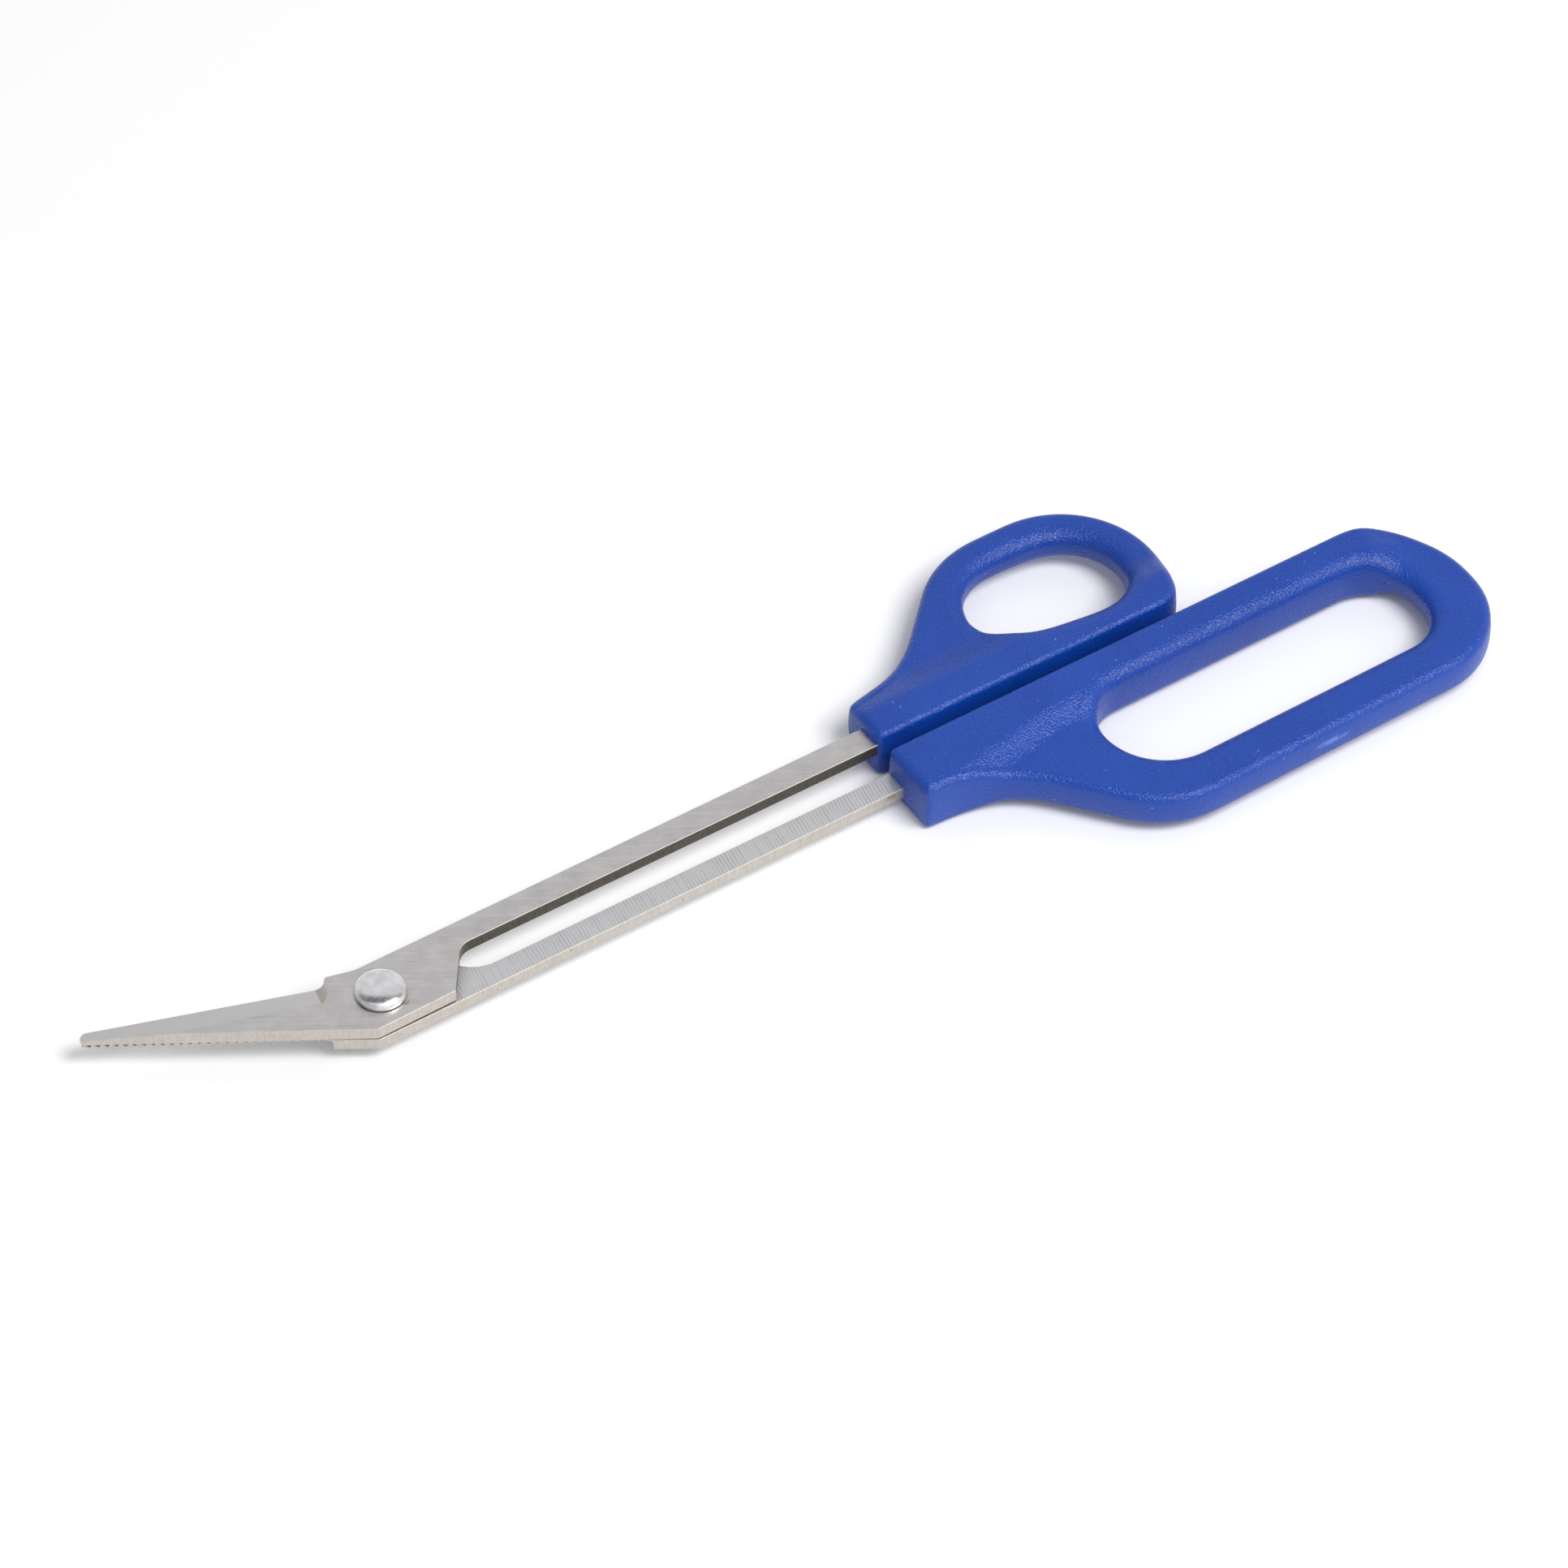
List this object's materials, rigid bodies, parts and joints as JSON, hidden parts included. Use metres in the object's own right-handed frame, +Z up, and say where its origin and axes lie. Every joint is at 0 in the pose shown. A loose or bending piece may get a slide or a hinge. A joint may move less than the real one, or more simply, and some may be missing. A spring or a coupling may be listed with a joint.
{
  "type": "long-reach toenail scissors",
  "caption": "Long-reach toenail scissors: short angled blades on a domed rivet, long slim shanks, blue moulded handles with a small thumb ring and a long finger loop.",
  "frame": {"origin": "bottom centre of the closed scissors' box, as they lie on a table", "axes": "+X along the shanks towards the handles, +Y towards the thumb ring, +Z up, square to the flat faces of the blades"},
  "size_m": [0.2042, 0.0574, 0.0082],
  "materials": {
    "blade_steel": "ground and finely brushed stainless steel",
    "rivet_steel": "polished steel, slightly dented",
    "blue_plastic": "spark-eroded satin blue moulded plastic"
  },
  "bodies": {
    "lower_half": {"lower_blade": "blade_steel", "finger_handle": "blue_plastic", "pivot_rivet": "rivet_steel"},
    "upper_half": {"upper_blade": "blade_steel", "thumb_handle": "blue_plastic"}
  },
  "joints": [
    {"name": "rivet_hinge", "type": "hinge", "parent": "lower_half", "child": "upper_half", "pos_m": [-0.06429, 0.00172, 0.0041], "axis": [0, 0, 1], "range_deg": [0, 45]}
  ]
}
